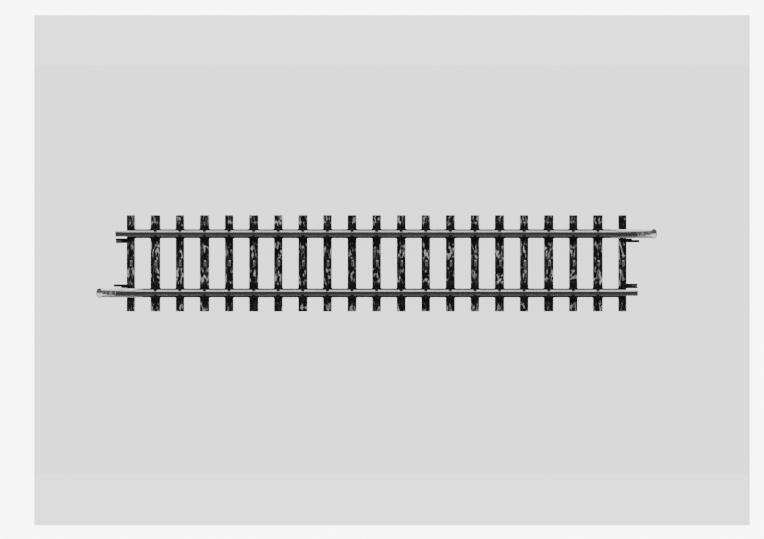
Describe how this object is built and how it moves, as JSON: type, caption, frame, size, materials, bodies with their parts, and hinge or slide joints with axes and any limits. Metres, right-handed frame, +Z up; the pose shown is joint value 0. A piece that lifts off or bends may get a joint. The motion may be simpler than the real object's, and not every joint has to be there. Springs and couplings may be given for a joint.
{
  "type": "model railway track section",
  "caption": "Straight model railway track section: dark wood-grained sleepers, two steel rails, push-on rail joiners and centre stud contacts.",
  "frame": {"origin": "on the surface the track lies on, under the middle of the section", "axes": "+X along the track, towards the end where the far rail carries its joiner; +Y across it, towards the far rail; +Z up"},
  "size_m": [0.1674, 0.0288, 0.0057],
  "materials": {
    "sleeper_plastic": "moulded wood grain, satin to glossy on the ridges",
    "rail_steel": "drawn rail, finely brushed along its length",
    "joiner_tin": "bright tinned sheet, folded",
    "stud_metal": "tinned, polished by sliding contact on top",
    "contact_strip": "stamped plated sheet, slightly dull"
  },
  "bodies": {
    "track": {"sleeper_01": "sleeper_plastic", "sleeper_02": "sleeper_plastic", "sleeper_03": "sleeper_plastic", "sleeper_04": "sleeper_plastic", "sleeper_05": "sleeper_plastic", "sleeper_06": "sleeper_plastic", "sleeper_07": "sleeper_plastic", "sleeper_08": "sleeper_plastic", "sleeper_09": "sleeper_plastic", "sleeper_10": "sleeper_plastic", "sleeper_11": "sleeper_plastic", "sleeper_12": "sleeper_plastic", "sleeper_13": "sleeper_plastic", "sleeper_14": "sleeper_plastic", "sleeper_15": "sleeper_plastic", "sleeper_16": "sleeper_plastic", "sleeper_17": "sleeper_plastic", "sleeper_18": "sleeper_plastic", "sleeper_19": "sleeper_plastic", "sleeper_20": "sleeper_plastic", "sleeper_21": "sleeper_plastic", "far_tie_strip": "sleeper_plastic", "near_tie_strip": "sleeper_plastic", "far_rail": "rail_steel", "near_rail": "rail_steel", "contact_ladder": "contact_strip", "stud_01": "stud_metal", "stud_02": "stud_metal", "stud_03": "stud_metal", "stud_04": "stud_metal", "stud_05": "stud_metal", "stud_06": "stud_metal", "stud_07": "stud_metal", "stud_08": "stud_metal", "stud_09": "stud_metal", "stud_10": "stud_metal", "stud_11": "stud_metal", "stud_12": "stud_metal", "stud_13": "stud_metal", "stud_14": "stud_metal", "stud_15": "stud_metal", "stud_16": "stud_metal", "stud_17": "stud_metal", "stud_18": "stud_metal", "stud_19": "stud_metal", "stud_20": "stud_metal", "stud_21": "stud_metal", "far_peg": "sleeper_plastic", "near_peg": "sleeper_plastic", "far_socket": "sleeper_plastic", "near_socket": "sleeper_plastic"},
    "far_joiner_body": {"far_joiner": "joiner_tin"},
    "near_joiner_body": {"near_joiner": "joiner_tin"},
    "far_spring_body": {"far_spring": "contact_strip"},
    "near_spring_body": {"near_spring": "contact_strip"}
  },
  "joints": [
    {"name": "far_joiner_slide", "type": "slide", "parent": "track", "child": "far_joiner_body", "axis": [1, 0, 0], "range_m": [-0.0022, 0.0065]},
    {"name": "near_joiner_slide", "type": "slide", "parent": "track", "child": "near_joiner_body", "axis": [-1, 0, 0], "range_m": [-0.0022, 0.0065]},
    {"name": "far_spring_flex", "type": "hinge", "parent": "track", "child": "far_spring_body", "pos_m": [-0.0739, 0.00662, 0.00085], "axis": [0, -1, 0], "range_deg": [0, 2.5], "stiffness_Nm_per_rad": 0.0128},
    {"name": "near_spring_flex", "type": "hinge", "parent": "track", "child": "near_spring_body", "pos_m": [0.0739, -0.00662, 0.00085], "axis": [0, 1, 0], "range_deg": [0, 2.5], "stiffness_Nm_per_rad": 0.0128}
  ]
}
